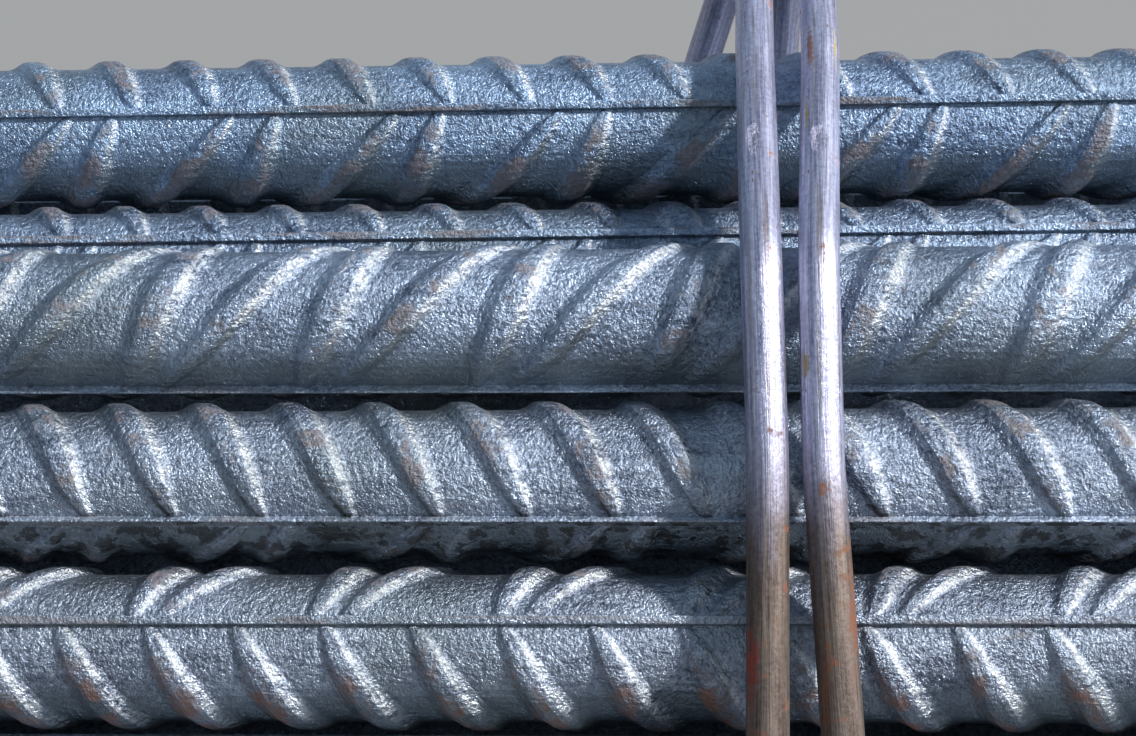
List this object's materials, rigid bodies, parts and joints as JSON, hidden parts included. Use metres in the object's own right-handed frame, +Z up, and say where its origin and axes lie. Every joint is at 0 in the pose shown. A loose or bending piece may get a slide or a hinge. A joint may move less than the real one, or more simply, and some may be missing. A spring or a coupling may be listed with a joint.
{
  "type": "rebar bundle",
  "caption": "Bundle of straight ribbed reinforcing bars in a six-sided stack, held by doubled wire-rod ties with twisted ends.",
  "frame": {"origin": "on the floor under the middle of the bundle: the lowest level is the underside of the ties", "axes": "+X along the bars, +Y to the back, away from the side that the picture shows, +Z up"},
  "size_m": [3.012, 0.1671, 0.2208],
  "materials": {
    "bar_steel": "hot-rolled steel with blue-grey mill scale, fine pits and specks of brown rust on the ribs",
    "tie_wire": "drawn wire rod with lengthwise streaks, grey to violet-brown, rusty in places"
  },
  "bodies": {
    "root": {"bar_low_row_1_a": "bar_steel", "bar_low_row_1_b": "bar_steel", "bar_low_row_1_c": "bar_steel", "bar_low_row_1_d": "bar_steel", "bar_low_row_1_e": "bar_steel", "bar_low_row_1_f": "bar_steel", "bar_low_row_2_a": "bar_steel", "bar_low_row_2_b": "bar_steel", "bar_low_row_2_c": "bar_steel", "bar_low_row_2_d": "bar_steel", "bar_low_row_2_e": "bar_steel", "bar_low_row_3_a": "bar_steel", "bar_low_row_3_b": "bar_steel", "bar_low_row_3_c": "bar_steel", "bar_low_row_3_d": "bar_steel", "bar_row_0_a": "bar_steel", "bar_row_0_b": "bar_steel", "bar_row_0_c": "bar_steel", "bar_row_0_d": "bar_steel", "bar_row_0_e": "bar_steel", "bar_row_0_f": "bar_steel", "bar_row_0_g": "bar_steel", "bar_row_1_a": "bar_steel", "bar_row_1_b": "bar_steel", "bar_row_1_c": "bar_steel", "bar_row_1_d": "bar_steel", "bar_row_1_e": "bar_steel", "bar_row_1_f": "bar_steel", "bar_row_2_a": "bar_steel", "bar_row_2_b": "bar_steel", "bar_row_2_c": "bar_steel", "bar_row_2_d": "bar_steel", "bar_row_2_e": "bar_steel", "bar_row_3_a": "bar_steel", "bar_row_3_b": "bar_steel", "bar_row_3_c": "bar_steel", "bar_row_3_d": "bar_steel", "bar_top": "bar_steel", "tie_1_left_wire": "tie_wire", "tie_1_right_wire": "tie_wire", "tie_2_left_wire": "tie_wire", "tie_2_right_wire": "tie_wire", "tie_3_left_wire": "tie_wire", "tie_3_right_wire": "tie_wire"}
  },
  "joints": []
}
